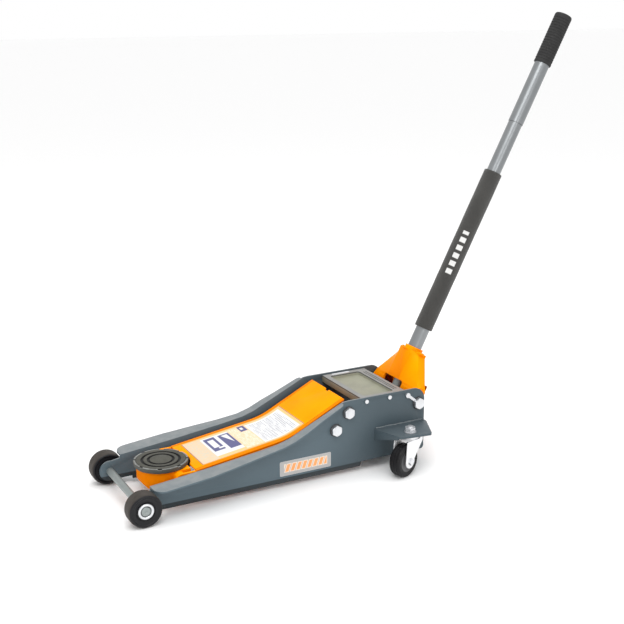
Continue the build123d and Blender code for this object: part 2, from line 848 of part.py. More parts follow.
with BuildPart() as caster_yoke:
    with BuildSketch(Plane.XY.offset(78)):
        with Locations((pivot_x, pivot_y)):
            Circle(22)
            Circle(6 + running_gap, mode=Mode.SUBTRACT)
    extrude(amount=4)
    with BuildSketch(Plane.XY.offset(82)):
        with Locations((pivot_x, pivot_y)):
            Circle(19)
            Circle(6 + running_gap, mode=Mode.SUBTRACT)
    extrude(amount=5.6)
    for side in (caster_width / 2 + 4, -caster_width / 2 - 1.5):
        with BuildSketch(caster_side(side)):
            with BuildLine():
                Polyline(
                    (-caster_trail - 22, 46), (-caster_trail + 33, 46), (14.6, 3), (0, -8),
                    (-14.6, 3), (-caster_trail - 22, 38), close=True,
                )
            make_face()
            Circle(15)
            Circle(4, mode=Mode.SUBTRACT)
        extrude(amount=2.5)
save_pair(caster_yoke.part, "caster_yoke")

with BuildPart() as caster_wheel:
    with BuildSketch(caster_side(caster_width / 2)):
        Circle(caster_radius)
        Circle(4 + running_gap, mode=Mode.SUBTRACT)
    extrude(amount=caster_width)
    fillet(edges().filter_by(GeomType.CIRCLE).group_by(SortBy.RADIUS)[-1], 5)
save_pair(caster_wheel.part, "caster_wheel")

with BuildPart() as caster_axle:
    with BuildSketch(caster_side(caster_width / 2 + 9)):
        RegularPolygon(6.5, 6, major_radius=False)
    extrude(amount=5)
    with BuildSketch(caster_side(caster_width / 2 + 5)):
        Circle(4)
    extrude(amount=caster_width + 9)
    with BuildSketch(caster_side(-caster_width / 2 - 4)):
        RegularPolygon(6.5, 6, major_radius=False)
    extrude(amount=5)
save_pair(caster_axle.part, "caster_axle")
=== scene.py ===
"""Looks of a low hydraulic trolley jack, laid out as an add-on and run as a script."""
import json
import math

import bmesh
import bpy
from bpy.props import FloatProperty, FloatVectorProperty, PointerProperty
from mathutils import Matrix, Vector

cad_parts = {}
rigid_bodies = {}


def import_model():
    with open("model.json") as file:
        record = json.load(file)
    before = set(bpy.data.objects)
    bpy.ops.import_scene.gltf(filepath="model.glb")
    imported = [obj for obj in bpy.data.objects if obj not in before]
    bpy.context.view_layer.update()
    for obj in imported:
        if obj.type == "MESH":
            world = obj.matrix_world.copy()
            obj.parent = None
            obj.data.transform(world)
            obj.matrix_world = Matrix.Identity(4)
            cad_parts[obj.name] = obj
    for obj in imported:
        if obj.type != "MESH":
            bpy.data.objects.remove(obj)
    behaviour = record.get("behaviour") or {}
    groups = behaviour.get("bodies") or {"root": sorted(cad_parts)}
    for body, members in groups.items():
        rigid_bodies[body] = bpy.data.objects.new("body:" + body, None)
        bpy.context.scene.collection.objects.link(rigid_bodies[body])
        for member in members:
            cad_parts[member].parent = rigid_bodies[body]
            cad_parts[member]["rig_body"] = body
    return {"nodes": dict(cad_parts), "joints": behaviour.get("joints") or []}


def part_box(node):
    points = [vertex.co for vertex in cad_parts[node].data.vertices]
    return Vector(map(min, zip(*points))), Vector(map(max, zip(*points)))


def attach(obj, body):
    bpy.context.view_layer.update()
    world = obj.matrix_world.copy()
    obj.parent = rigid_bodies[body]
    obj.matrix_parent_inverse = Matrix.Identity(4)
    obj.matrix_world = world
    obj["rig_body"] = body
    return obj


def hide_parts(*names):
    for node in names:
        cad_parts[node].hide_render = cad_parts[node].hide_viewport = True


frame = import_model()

bl_info = {
    "name": "Trolley Jack",
    "version": (1, 0, 0),
    "blender": (4, 5, 0),
    "location": "View3D > Sidebar > Jack",
    "description": "Builds the finished surfaces and details of a low hydraulic trolley jack",
    "category": "Object",
}

MM = 0.001
JOINTS = {joint["name"]: joint for joint in frame["joints"]}
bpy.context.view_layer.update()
SIDES = (("left", 1), ("right", -1))

# millimetres, as in the CAD
PLATE_FACE = 95.0          # outer face of a side plate, from the middle
BOLT_FLATS = 22.0
SOCKET_BOLT_FLATS = 23.0
HEAD_HEIGHT = 7.0
WASHER_HEIGHT = 1.8
STRIP_SCREW = (622.0, 157.0)        # behind the front axle, above the floor
FOAM_START, FOAM_END, FOAM_RADIUS = 155.0, 543.0, 21.0
GRIP_START, GRIP_END, GRIP_RADIUS = 810.0, 930.0, 20.0
CASTER_RADIUS, CASTER_HALF_WIDTH = 36.0, 14.5


def front_axle_x():
    return sum(corner.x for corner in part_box("front_axle")) / 2


# ------------------------------------------------------------------ sizes and colours
def colour(name, description, default):
    return FloatVectorProperty(
        name=name, description=description, subtype="COLOR", size=3, min=0, max=1, default=default
    )


def length(name, description, default):
    return FloatProperty(
        name=name, description=description, subtype="DISTANCE", unit="LENGTH", min=0, default=default
    )


class JackColours(bpy.types.PropertyGroup):
    """Colours of the jack's finishes."""

    chassis: colour("Chassis", "Powder coat on the side plates", (0.086, 0.121, 0.142))
    # Dust: real dust on faces that look up, together with a painted highlight on those tops
    dust: colour("Shelf dust", "Pale bloom on faces that look up", (0.26, 0.27, 0.27))
    orange: colour("Orange", "Gloss paint on the arm, bracket and socket", (1.0, 0.345, 0.0))
    # Deep orange: random deeper tone and wear, and also the painted shade on the arm's sides and folds
    orange_deep_and_shade: colour("Deep orange", "The same paint where it lies thick by a fold", (0.82, 0.135, 0.0))
    # Shaded orange: painted shade for orange paint out of the light, used on the brace behind the socket's
    # arch
    inner: colour("Inner paint", "Thin red-brown coat inside the socket", (0.20, 0.020, 0.001))
    rods: colour("Levelling rods", "Paint on the levelling rods", (0.035, 0.037, 0.040))
    tray: colour("Tray rim", "Paint on the tray's rim", (0.245, 0.245, 0.235))
    tray_floor: colour("Tray floor", "Olive grey mat in the recess", (0.285, 0.285, 0.210))
    wheel: colour("Wheel tread", "Tread of the front wheels", (0.045, 0.037, 0.031))
    # Wheel side: painted shade, the sides of the front wheels drawn much darker than the tread
    wheel_side_shade: colour("Wheel face", "Painted side of the front wheels", (0.006, 0.006, 0.008))
    steel: colour("Axle steel", "Bare steel of the axle and pins", (0.30, 0.33, 0.325))
    zinc: colour("Zinc", "Bright plating on bolts and screws", (0.74, 0.75, 0.77))
    fork: colour("Caster fork", "Plating on the caster forks", (0.88, 0.88, 0.89))
    unit: colour("Hydraulic unit", "Paint on the pump and cylinder", (0.040, 0.050, 0.058))
    chrome: colour("Chrome", "Polished ram", (0.78, 0.79, 0.80))
    saddle: colour("Saddle", "Iron of the saddle's cup", (0.070, 0.073, 0.064))
    pad: colour("Saddle pad", "Ribbed rubber in the saddle", (0.062, 0.061, 0.047))
    groove: colour("Groove", "Shaded bottoms of the pad's rings", (0.008, 0.008, 0.007))
    spring: colour("Springs", "Return springs", (0.30, 0.30, 0.31))
    tube: colour("Handle tube", "Satin plate on the handle", (0.250, 0.262, 0.270))
    foam: colour("Foam", "Closed cell sleeve", (0.036, 0.035, 0.032))
    grip: colour("Grip", "Rubber at the end of the handle", (0.022, 0.022, 0.022))
    tyre: colour("Caster tyre", "Black caster tread", (0.005, 0.005, 0.006))
    hub: colour("Caster hub", "Moulded hub of the casters", (0.10, 0.10, 0.105))
    label: colour("Label", "Pale ground of the stickers", (0.74, 0.745, 0.75))
    label_grey: colour("Side label", "Grey ground of the side stickers", (0.40, 0.39, 0.38))
    ink: colour("Ink", "Navy print on the arm label", (0.050, 0.052, 0.19))
    floor: colour("Floor", "Pale studio floor", (0.975, 0.975, 0.975))


class JackSizes(bpy.types.PropertyGroup):
    """Sizes of the small details."""

    fold: length("Fold radius", "Rounding of bent sheet edges", 1.6 * MM)
    edge: length("Edge radius", "Rounding of cut edges", 0.8 * MM)
    bead: length("Weld radius", "Radius of a weld bead", 2.6 * MM)
    film: length("Label thickness", "Thickness of the stickers", 0.25 * MM)
    rib: length("Grip rib", "Depth of the ribs on the end grip", 0.9 * MM)
    tread: length("Tread groove", "Depth of the caster tyre's grooves", 1.0 * MM)


def colours():
    return bpy.context.scene.jack_colours


def sizes():
    return bpy.context.scene.jack_sizes


# ------------------------------------------------------------------ shader sums
class Term:
    """A shader socket that takes part in Python sums."""

    def __init__(self, finish, node, output):
        self.finish, self.made, self.out = finish, node, node.outputs[output]

    def other(self, output):
        return Term(self.finish, self.made, output)

    def math(self, operation, *terms):
        return self.finish.node("ShaderNodeMath", {"operation": operation}, dict(enumerate(terms)))

    def __add__(self, term):
        return self.math("ADD", self, term)

    def __sub__(self, term):
        return self.math("SUBTRACT", self, term)

    def __rsub__(self, term):
        return self.math("SUBTRACT", term, self)

    def __mul__(self, term):
        return self.math("MULTIPLY", self, term)

    def __truediv__(self, term):
        return self.math("DIVIDE", self, term)

    def __pow__(self, term):
        return self.math("POWER", self, term)

    def __abs__(self):
        return self.math("ABSOLUTE", self)

    def __gt__(self, term):
        return self.math("GREATER_THAN", self, term)

    def either(self, term):
        return self.math("MAXIMUM", self, term)

    def part(self):
        return self.math("FRACT", self)

    __radd__, __rmul__ = __add__, __mul__

    def rise(self, low, high):
        """0 below low, 1 above high, smooth between."""
        return self.finish.node(
            "ShaderNodeMapRange", {"interpolation_type": "SMOOTHSTEP"},
            {"Value": self, "From Min": low, "From Max": high}, "Result",
        )

    def between(self, low, high, soft):
        return self.rise(low - soft, low + soft) * (1 - self.rise(high - soft, high + soft))


class Finish:
    """A material in the making."""

    def __init__(self, name, **constants):
        self.material = bpy.data.materials.new(name)
        self.material.use_nodes = True
        self.tree = self.material.node_tree
        self.surface = self.tree.nodes["Principled BSDF"]
        for socket, value in constants.items():
            self.set(socket.replace("_", " "), value)
        self.at = self.node("ShaderNodeTexCoord", {}, {}, "Object")
        self.x = self.node("ShaderNodeSeparateXYZ", {}, {0: self.at}, "X")
        self.y, self.z = self.x.other("Y"), self.x.other("Z")

    def node(self, kind, settings=None, inputs=None, output=0):
        """Any node: its type, then its settings, then the values or links of its sockets."""
        made = self.tree.nodes.new(kind)
        for name, value in (settings or {}).items():
            if name == "stops":
                while len(made.color_ramp.elements) < len(value):
                    made.color_ramp.elements.new(0.5)
                for element, (position, shade) in zip(made.color_ramp.elements, value):
                    element.position, element.color = position, shade
            else:
                setattr(made, name, value)
        for name, value in (inputs or {}).items():
            self.plug(made.inputs[name], value)
        return Term(self, made, output)

    def plug(self, socket, value):
        if isinstance(value, Term):
            self.tree.links.new(value.out, socket)
        elif hasattr(value, "__len__") and len(value) == 3 and socket.type == "RGBA":
            socket.default_value = (*value, 1)
        else:
            socket.default_value = value

    def set(self, socket, value):
        self.plug(self.surface.inputs[socket], value)

    def noise(self, scale, detail=2.0, at=None, rough=0.55):
        return self.node(
            "ShaderNodeTexNoise", {},
            {"Vector": at or self.at, "Scale": scale, "Detail": detail, "Roughness": rough}, 0,
        )

    def cells(self, scale, at=None):
        return self.node("ShaderNodeTexVoronoi", {}, {"Vector": at or self.at, "Scale": scale}, "Distance")

    def mix(self, factor, first, second):
        return self.node("ShaderNodeMix", {"data_type": "RGBA"}, {0: factor, 6: first, 7: second}, 2)

    def turned(self, origin=(0, 0, 0), rotation=(0, 0, 0), scale=(1, 1, 1)):
        """Object coordinates moved to an origin, turned and stretched."""
        moved = self.node(
            "ShaderNodeVectorMath", {"operation": "SUBTRACT"}, {0: self.at, 1: tuple(origin)}
        )
        return self.node(
            "ShaderNodeMapping", {}, {"Vector": moved, "Rotation": tuple(rotation), "Scale": tuple(scale)}
        )

    def facing(self, axis):
        """How far the surface faces along X, Y or Z, from -1 to 1."""
        normal = self.node("ShaderNodeTexCoord", {}, {}, "Normal")
        return self.node("ShaderNodeSeparateXYZ", {}, {0: normal}, axis)

    def bump(self, height, strength, distance=0.001):
        return self.node(
            "ShaderNodeBump", {}, {"Height": height, "Strength": strength, "Distance": distance}, "Normal"
        )


# ------------------------------------------------------------------ finishes
def chassis_paint(name="chassis_paint", dust_and_sheen=1.0):
    c = colours()
    f = Finish(name, Specular_IOR_Level=0.35)
    cloud = f.noise(9, 4)
    speck = f.noise(1400, 1)
    # faces that look up take real dust and a painted top highlight; bracket_paint takes little of either
    up = f.facing("Z").rise(0.55, 0.98) * dust_and_sheen
    # bottom lip: painted shade darkens it; real rubbing wear (rub) lightens spots on it
    low = 1 - f.z.rise(0.0232, 0.0250)
    # painted shade: the rear of the side plates is drawn darker
    rear_shade = 1 - f.x.rise(-0.03, 0.16)
    shade = f.mix(cloud.rise(0.3, 0.7) * 0.35, c.chassis, [v * 0.80 for v in c.chassis])
    shade = f.mix(rear_shade * 0.55, shade, [v * 0.40 for v in c.chassis])
    shade = f.mix(up * (0.50 + 0.25 * f.noise(45, 5).rise(0.35, 0.7)), shade, c.dust)
    shade = f.mix(low * 0.95, shade, [v * 0.20 for v in c.chassis])
    rub = f.noise(160, 6).rise(0.70, 0.76) * low
    shade = f.mix(rub * 0.7, shade, (0.30, 0.30, 0.29))
    f.set("Base Color", shade)
    f.set("Roughness", 0.36 + 0.12 * cloud + 0.08 * speck)
    f.set("Normal", f.bump(f.noise(520, 3) * 0.6 + speck * 0.25, 0.10, 0.0006))
    return f.material


def orange_paint(name="orange_paint", shaded_folds=False):
    c = colours()
    f = Finish(name, Specular_IOR_Level=0.02)
    cloud = f.noise(14, 3)
    shade = f.mix(cloud.rise(0.3, 0.75) * 0.25, c.orange, c.orange_deep_and_shade)
    # painted shade: faces that turn away from the top go deep orange
    side = 1 - f.facing("Z").rise(0.15, 0.75)
    shade = f.mix(side * 0.55, shade, c.orange_deep_and_shade)
    rough = 0.27 + 0.10 * cloud
    height = f.noise(600, 3) * 0.5
    if shaded_folds:
        # painted shade on the folded edges, and dark lines of painted shade along the bends, with a small
        # bump groove
        across = abs(f.y)
        fold = across.rise(0.0655, 0.0668)
        line = across.between(0.0652, 0.0664, 0.0003).either(across.between(0.0722, 0.0728, 0.0002) * 0.7)
        shade = f.mix(fold * 0.5, shade, c.orange_deep_and_shade)
        shade = f.mix(line * 0.9, shade, (0.10, 0.022, 0.004))
        height = height - line * 2.0
    worn = f.noise(240, 6).rise(0.735, 0.76)
    shade = f.mix(worn * 0.35, shade, [v * 0.55 for v in c.orange_deep_and_shade])
    f.set("Base Color", shade)
    f.set("Roughness", rough)
    f.set("Normal", f.bump(height, 0.14, 0.0006))
    return f.material


def plain_paint(name, shade, roughness, grit=700, **constants):
    f = Finish(name, **constants)
    cloud = f.noise(26, 4)
    tone = f.mix(cloud.rise(0.25, 0.75) * 0.45, list(shade), [v * 0.62 for v in shade])
    chip = f.noise(300, 6).rise(0.72, 0.75)
    f.set("Base Color", f.mix(chip * 0.5, tone, [min(1, v * 2.2 + 0.03) for v in shade]))
    f.set("Roughness", roughness + 0.16 * cloud)
    f.set("Normal", f.bump(f.noise(grit, 4), 0.22, 0.0008))
    return f.material


def tray_paint():
    c = colours()
    f = Finish("tray_paint")
    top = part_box("tray")[1].z
    cloud = f.noise(30, 4)
    deep = 1 - f.z.rise(top - 4 * MM, top - 2 * MM)
    shade = f.mix(deep, c.tray, c.tray_floor)
    shade = f.mix(cloud.rise(0.3, 0.7) * 0.25, shade, [v * 0.6 for v in c.tray])
    # painted shade along the upper walls of the recess
    groove = (1 - f.z.rise(top - 1.1 * MM, top - 0.5 * MM)) * (1 - deep)
    f.set("Base Color", f.mix(groove * 0.8, shade, (0.02, 0.022, 0.024)))
    f.set("Roughness", 0.42 + 0.2 * cloud)
    f.set("Normal", f.bump(f.noise(900, 3) + f.cells(1500) * deep, 0.25, 0.0005))
    return f.material


def bare_metal(name, shade, roughness, stretch=(1, 1, 1), rotation=(0, 0, 0), rust=0.0, metallic=1.0,
               under=0.0):
    """Drawn or plated metal with fine scratches along one way; with under set, faces that turn downward take
    painted shade.
    """
    f = Finish(name, Metallic=metallic)
    along = f.turned(rotation=rotation, scale=stretch)
    grain = f.noise(700, 3, along)
    cloud = f.noise(38, 4)
    tone = f.mix(cloud.rise(0.3, 0.75) * 0.35, list(shade), [v * 0.72 for v in shade])
    tone = f.mix(grain.rise(0.55, 0.8) * 0.18, tone, [v * 0.5 for v in shade])
    if rust:
        spot = f.noise(210, 6).rise(0.68, 0.76)
        tone = f.mix(spot * rust, tone, (0.12, 0.055, 0.025))
    if under:
        # painted shade on faces that turn downward
        tone = f.mix((1 - f.facing("Z").rise(-0.75, 0.10)) * under, tone, [v * 0.16 for v in shade])
    f.set("Base Color", tone)
    f.set("Roughness", roughness + 0.14 * cloud + 0.08 * grain)
    f.set("Normal", f.bump(grain, 0.10, 0.0004))
    return f.material


def wheel_paint():
    c = colours()
    f = Finish("wheel_paint", Specular_IOR_Level=0.30)
    # painted shade: the wheel's sides are drawn darker than its tread
    face = abs(f.facing("Y")).rise(0.35, 0.75)
    cloud = f.noise(60, 5)
    tread = f.mix(cloud.rise(0.35, 0.7) * 0.5, c.wheel, [v * 0.55 for v in c.wheel])
    scuff = f.noise(320, 6, f.turned(scale=(1, 5, 1))).rise(0.62, 0.72)
    tread = f.mix(scuff * 0.30, tread, (0.16, 0.14, 0.12))
    f.set("Base Color", f.mix(face, tread, c.wheel_side_shade))
    f.set("Roughness", 0.52 + 0.2 * cloud - 0.18 * face)
    f.set("Normal", f.bump(f.noise(800, 4) + scuff * 0.4, 0.25, 0.0006))
    return f.material


def saddle_finish(name, shade, pad):
    """Concentric marks round the saddle's own axis: painted shade in the pad's grooves and at its edge, and
    wear on the cup's rim.
    """
    c = colours()
    f = Finish(name)
    centre = Vector(JOINTS["saddle_swivel"]["pos_m"])
    dx, dy = f.x - centre.x, f.y - centre.y
    radius = (dx * dx + dy * dy) ** 0.5
    cloud = f.noise(70, 5)
    tone = f.mix(cloud.rise(0.3, 0.7) * 0.5, list(shade), [v * 0.6 for v in shade])
    if pad:
        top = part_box("saddle_pad")[1].z
        # painted shade below the pad's top, at its outer edge and in its two ring grooves
        pad_shade = (1 - f.z.rise(top - 1.6 * MM, top - 0.6 * MM)).either(radius.rise(0.0506, 0.0513))
        pad_shade = pad_shade.either(radius.between(0.0355, 0.0420, 0.0004))
        pad_shade = pad_shade.either(radius.between(0.0225, 0.0290, 0.0004))
        tone = f.mix(pad_shade, tone, c.groove)
        f.set("Roughness", 0.62 + 0.2 * cloud)
        f.set("Normal", f.bump(f.noise(900, 4), 0.35, 0.0008))
    else:
        worn = radius.rise(0.0521, 0.0527) * f.facing("Z").rise(0.5, 0.9)
        tone = f.mix(worn * (0.35 + 0.5 * f.noise(120, 5).rise(0.4, 0.7)), tone, (0.34, 0.345, 0.33))
        f.set("Metallic", worn * 0.5)
        f.set("Roughness", 0.46 + 0.2 * cloud - 0.12 * worn)
        f.set("Normal", f.bump(f.noise(420, 5), 0.4, 0.0010))
    f.set("Base Color", tone)
    return f.material


def handle_turned(f, scale=(1, 1, 1)):
    """Coordinates with Z running up the handle."""
    joint = JOINTS["handle_twist"]
    lean = math.atan2(joint["axis"][0], joint["axis"][2])
    return f.turned(joint["pos_m"], (0, -lean, 0), scale)


def tube_finish():
    c = colours()
    f = Finish("handle_tube", Metallic=0.85)
    grain = f.noise(900, 3, handle_turned(f, (1, 1, 0.02)))
    ring = f.noise(160, 3, handle_turned(f, (0.05, 0.05, 1)))
    cloud = f.noise(22, 4)
    tone = f.mix(cloud.rise(0.3, 0.7) * 0.3, c.tube, [v * 0.75 for v in c.tube])
    tone = f.mix(ring.rise(0.62, 0.75) * 0.2, tone, [v * 0.55 for v in c.tube])
    f.set("Base Color", tone)
    f.set("Roughness", 0.25 + 0.10 * cloud + 0.08 * grain)
    f.set("Normal", f.bump(grain, 0.08, 0.0004))
    return f.material


def foam_finish():
    c = colours()
    f = Finish("foam_sleeve", Sheen_Weight=0.15, Sheen_Roughness=0.6)
    cell = f.cells(900)
    pore = f.cells(2600)
    press = f.noise(30, 4, handle_turned(f, (1, 1, 0.35)))
    tone = f.mix(press.rise(0.3, 0.7) * 0.45, c.foam, [v * 1.7 for v in c.foam])
    tone = f.mix(cell.rise(0.25, 0.6) * 0.4, tone, [v * 0.45 for v in c.foam])
    # a row of plain pale bars on the side that faces the user's left
    front = f.node("ShaderNodeSeparateXYZ", {}, {0: handle_turned(f)}, "X")
    side, up = front.other("Y"), front.other("Z")
    across, towards = front * -0.8 + side * 0.6, front * 0.6 + side * 0.8
    bars = (up / 0.0192).part().between(0.14, 0.74, 0.05) * up.between(0.288, 0.3945, 0.0005)
    bars = bars * abs(across).rise(0.0072, 0.0066) * towards.rise(0.009, 0.010)
    f.set("Base Color", f.mix(bars * (0.75 + 0.2 * press), tone, (0.78, 0.78, 0.77)))
    f.set("Roughness", 0.80 + 0.15 * pore)
    f.set("Normal", f.bump(cell * 0.8 + pore * 0.5 + press * 3, 0.55, 0.0009))
    return f.material


def rubber(name, shade, rough=0.62, grain=1500):
    f = Finish(name, Specular_IOR_Level=0.22)
    cloud = f.noise(50, 4)
    dust = f.noise(220, 6).rise(0.55, 0.75)
    tone = f.mix(cloud.rise(0.3, 0.7) * 0.5, list(shade), [v * 1.7 for v in shade])
    f.set("Base Color", f.mix(dust * 0.15, tone, (0.18, 0.17, 0.15)))
    f.set("Roughness", rough + 0.18 * cloud)
    f.set("Normal", f.bump(f.noise(grain, 3), 0.3, 0.0005))
    return f.material


def arm_label_print():
    """Film over the arm: a grey field, a square with two signs, a data block."""
    c = colours()
    f = Finish("arm_label_print", Coat_Weight=0.25, Coat_Roughness=0.15)
    b = (front_axle_x() - f.x) * 1000
    y = f.y * 1000

    def patch(b0, b1, y0, y1, soft=0.5):
        return b.between(b0, b1, soft) * y.between(y0, y1, soft)

    ground = f.mix(f.noise(120, 3) * 0.5, (0.92, 0.50, 0.16), (0.80, 0.55, 0.30))
    tint = patch(152, 190, -56, 58, 1.5) * (0.55 + 0.3 * f.noise(170, 4).rise(0.45, 0.6))
    ground = f.mix(tint, ground, (0.60, 0.55, 0.44))
    strip = patch(254, 293, -54, 54, 1.0)
    streaks = f.noise(240, 3, f.turned(scale=(2.2, 0.35, 1))).rise(0.42, 0.6)
    ground = f.mix(strip * (0.35 + 0.5 * streaks), ground, (0.86, 0.74, 0.62))
    square = patch(189, 252.5, -52, 46)
    shade = f.mix(square, ground, c.label)
    signs = patch(194, 219, -47, 23).either(patch(227, 252, -45, 31))
    clear = patch(200, 213, -36, 6).either(patch(208, 219.5, 8, 15))
    wedge = patch(233, 247, -40, 26) * ((b - 233) * 3.2 - (y + 40) > 0)
    signs = signs * (1 - clear.either(wedge))
    shade = f.mix(signs, shade, c.ink)
    block = patch(294.5, 377, -52, 55)
    shade = f.mix(block, shade, c.label)
    row = (y / 6.5).part().between(0.30, 0.62, 0.06)
    words = f.noise(300, 2, f.turned(scale=(1, 0.12, 1))).rise(0.42, 0.50)
    data = patch(299, 372, -46, 49) * row * words
    shade = f.mix(data * 0.9, shade, (0.22, 0.22, 0.27))
    badge = patch(276, 292, -55, -26)
    shade = f.mix(badge, shade, c.ink)
    shade = f.mix(patch(280, 286, -47, -36), shade, c.label)
    rim = 1 - patch(151.5, 383, -60.3, 60.3, 0.3)
    shade = f.mix(rim * 0.85, shade, (0.10, 0.06, 0.07))
    f.set("Base Color", shade)
    f.set("Roughness", 0.30 + 0.15 * f.noise(90, 4))
    f.set("Normal", f.bump(f.noise(60, 3), 0.08, 0.001))
    return f.material


def side_label_print():
    """Plain striped badge: slanting orange bars on grey, with a pale border."""
    c = colours()
    f = Finish("side_label_print", Coat_Weight=0.3, Coat_Roughness=0.12)
    b = (front_axle_x() - f.x) * 1000
    z = f.z * 1000
    slant = (b - 0.35 * z - 318) / 13.2
    tall = z.between(37.5, 53.5, 0.4) * b.between(320, 420, 0.4)
    bars = slant.part()
    pale = bars.between(0.06, 0.94, 0.03) * z.between(36, 55, 0.4) * b.between(318.5, 421.5, 0.4)
    core = bars.between(0.20, 0.80, 0.03) * tall
    shade = f.mix(f.noise(80, 4) * 0.35, c.label_grey, [v * 0.75 for v in c.label_grey])
    shade = f.mix(pale * 0.8, shade, (0.86, 0.74, 0.60))
    shade = f.mix(core, shade, (0.88, 0.33, 0.10))
    edge = 1 - b.between(309.2, 429.8, 0.3) * z.between(29.2, 60.8, 0.3)
    f.set("Base Color", f.mix(edge * 0.6, shade, (0.66, 0.66, 0.66)))
    f.set("Roughness", 0.34 + 0.12 * f.noise(60, 3))
    f.set("Normal", f.bump(f.noise(40, 3), 0.06, 0.001))
    return f.material


def studio_floor():
    c = colours()
    f = Finish("studio_floor", Specular_IOR_Level=0.1)
    f.set("Base Color", f.mix(f.noise(2, 2) * 0.15, c.floor, [v * 0.985 for v in c.floor]))
    f.set("Roughness", 0.85 + 0.05 * f.noise(6, 2))
    return f.material


FINISHES = {
    "chassis": chassis_paint,
    "bracket": lambda: chassis_paint("bracket_paint", 0.12),
    "orange_shade": lambda: plain_paint("socket_shaded_orange_paint", colours().inner, 0.5, Specular_IOR_Level=0.05),
    "orange": orange_paint,
    "arm_cover": lambda: orange_paint("arm_cover_paint", shaded_folds=True),
    "rods": lambda: plain_paint("rod_paint", colours().rods, 0.36),
    "tray": tray_paint,
    "wheel": wheel_paint,
    "steel": lambda: bare_metal("axle_steel", colours().steel, 0.40, (1, 0.05, 1), rust=0.35, metallic=0.7),
    "zinc": lambda: bare_metal("zinc_plate", colours().zinc, 0.26, metallic=0.9, under=0.85),
    "fork": lambda: bare_metal("fork_plate", colours().fork, 0.36, metallic=0.6),
    "unit": lambda: plain_paint("unit_paint", colours().unit, 0.40, 380, Coat_Weight=0.15),
    "chrome": lambda: bare_metal("ram_chrome", colours().chrome, 0.06, (0.05, 1, 1)),
    "saddle": lambda: saddle_finish("saddle_iron", colours().saddle, False),
    "pad": lambda: saddle_finish("saddle_rubber", colours().pad, True),
    "spring": lambda: bare_metal("spring_steel", colours().spring, 0.34, rust=0.2),
    "tube": tube_finish,
    "foam": foam_finish,
    "grip": lambda: rubber("grip_rubber", colours().grip),
    "tyre": lambda: rubber("caster_tyre", colours().tyre, 0.42),
    "hub": lambda: plain_paint("caster_hub", colours().hub, 0.45),
    "arm_label": arm_label_print,
    "side_label": side_label_print,
    "floor": studio_floor,
}
MADE = {}


def finish_of(name):
    if name not in MADE:
        MADE[name] = FINISHES[name]()
    return MADE[name]


# ------------------------------------------------------------------ modelling helpers
def only(*chosen):
    """Select just these objects, the last of them active."""
    bpy.ops.object.select_all(action="DESELECT")
    for item in chosen:
        item.select_set(True)
    bpy.context.view_layer.objects.active = chosen[-1]


def editing(piece):
    only(piece)
    bpy.ops.object.mode_set(mode="EDIT")
    bpy.ops.mesh.select_all(action="DESELECT")


def done():
    bpy.ops.object.mode_set(mode="OBJECT")


def choose(piece, test, kind="FACE"):
    """In edit mode, select the faces, edges or vertices that pass a test."""
    bpy.ops.mesh.select_mode(type=kind)
    bpy.ops.mesh.select_all(action="DESELECT")
    mesh = bmesh.from_edit_mesh(piece.data)
    parts = {"FACE": mesh.faces, "EDGE": mesh.edges, "VERT": mesh.verts}[kind]
    for part in parts:
        if test(part):
            part.select_set(True)
    mesh.select_flush_mode()
    bmesh.update_edit_mesh(piece.data)


def added(name):
    piece = bpy.context.object
    piece.name = piece.data.name = name
    return piece


def settle(piece):
    """Put the piece's place into its mesh."""
    only(piece)
    bpy.ops.object.transform_apply(location=True, rotation=True, scale=True)


def outward(piece):
    editing(piece)
    bpy.ops.mesh.select_all(action="SELECT")
    bpy.ops.mesh.remove_doubles(threshold=1e-6)
    bpy.ops.mesh.normals_make_consistent(inside=False)
    done()


def modify(piece, kind, **settings):
    """Add a modifier and apply it."""
    only(piece)
    modifier = piece.modifiers.new(kind.lower(), kind)
    for name, value in settings.items():
        setattr(modifier, name, value)
    bpy.ops.object.modifier_apply(modifier=modifier.name)


def smooth(piece, angle=32):
    only(piece)
    bpy.ops.object.shade_smooth_by_angle(angle=math.radians(angle))


def eased(piece, width, segments=2, angle=30):
    """Round the edges that are sharper than an angle."""
    modify(
        piece, "BEVEL", width=width, segments=segments, limit_method="ANGLE",
        angle_limit=math.radians(angle), use_clamp_overlap=True,
    )
    smooth(piece, angle + 2)
    return piece


def dress(piece, finish, body, slot, *nodes):
    """Give the piece its finish, the body that it rides on and the CAD nodes it stands for."""
    piece.data.materials.clear()
    piece.data.materials.append(finish_of(finish))
    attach(piece, body)
    if nodes:
        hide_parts(*nodes)
    return piece


def painted(node, finish):
    """Give a CAD node that stays as it is its finish."""
    materials = frame["nodes"][node].data.materials
    materials.clear()
    materials.append(finish_of(finish))


def block(name, size, location=(0, 0, 0)):
    bpy.ops.object.select_all(action="DESELECT")
    bpy.ops.mesh.primitive_cube_add(size=1, location=location)
    piece = added(name)
    piece.scale = size
    settle(piece)
    return piece


def edges_along(axis):
    """Test for the edges that run along X, Y or Z."""
    index = "XYZ".index(axis)
    return lambda edge: abs((edge.verts[0].co - edge.verts[1].co).normalized()[index]) > 0.9


def aim(origin, direction):
    turn = Vector(direction).to_track_quat("Z", "Y").to_matrix().to_4x4()
    return Matrix.Translation(Vector(origin)) @ turn


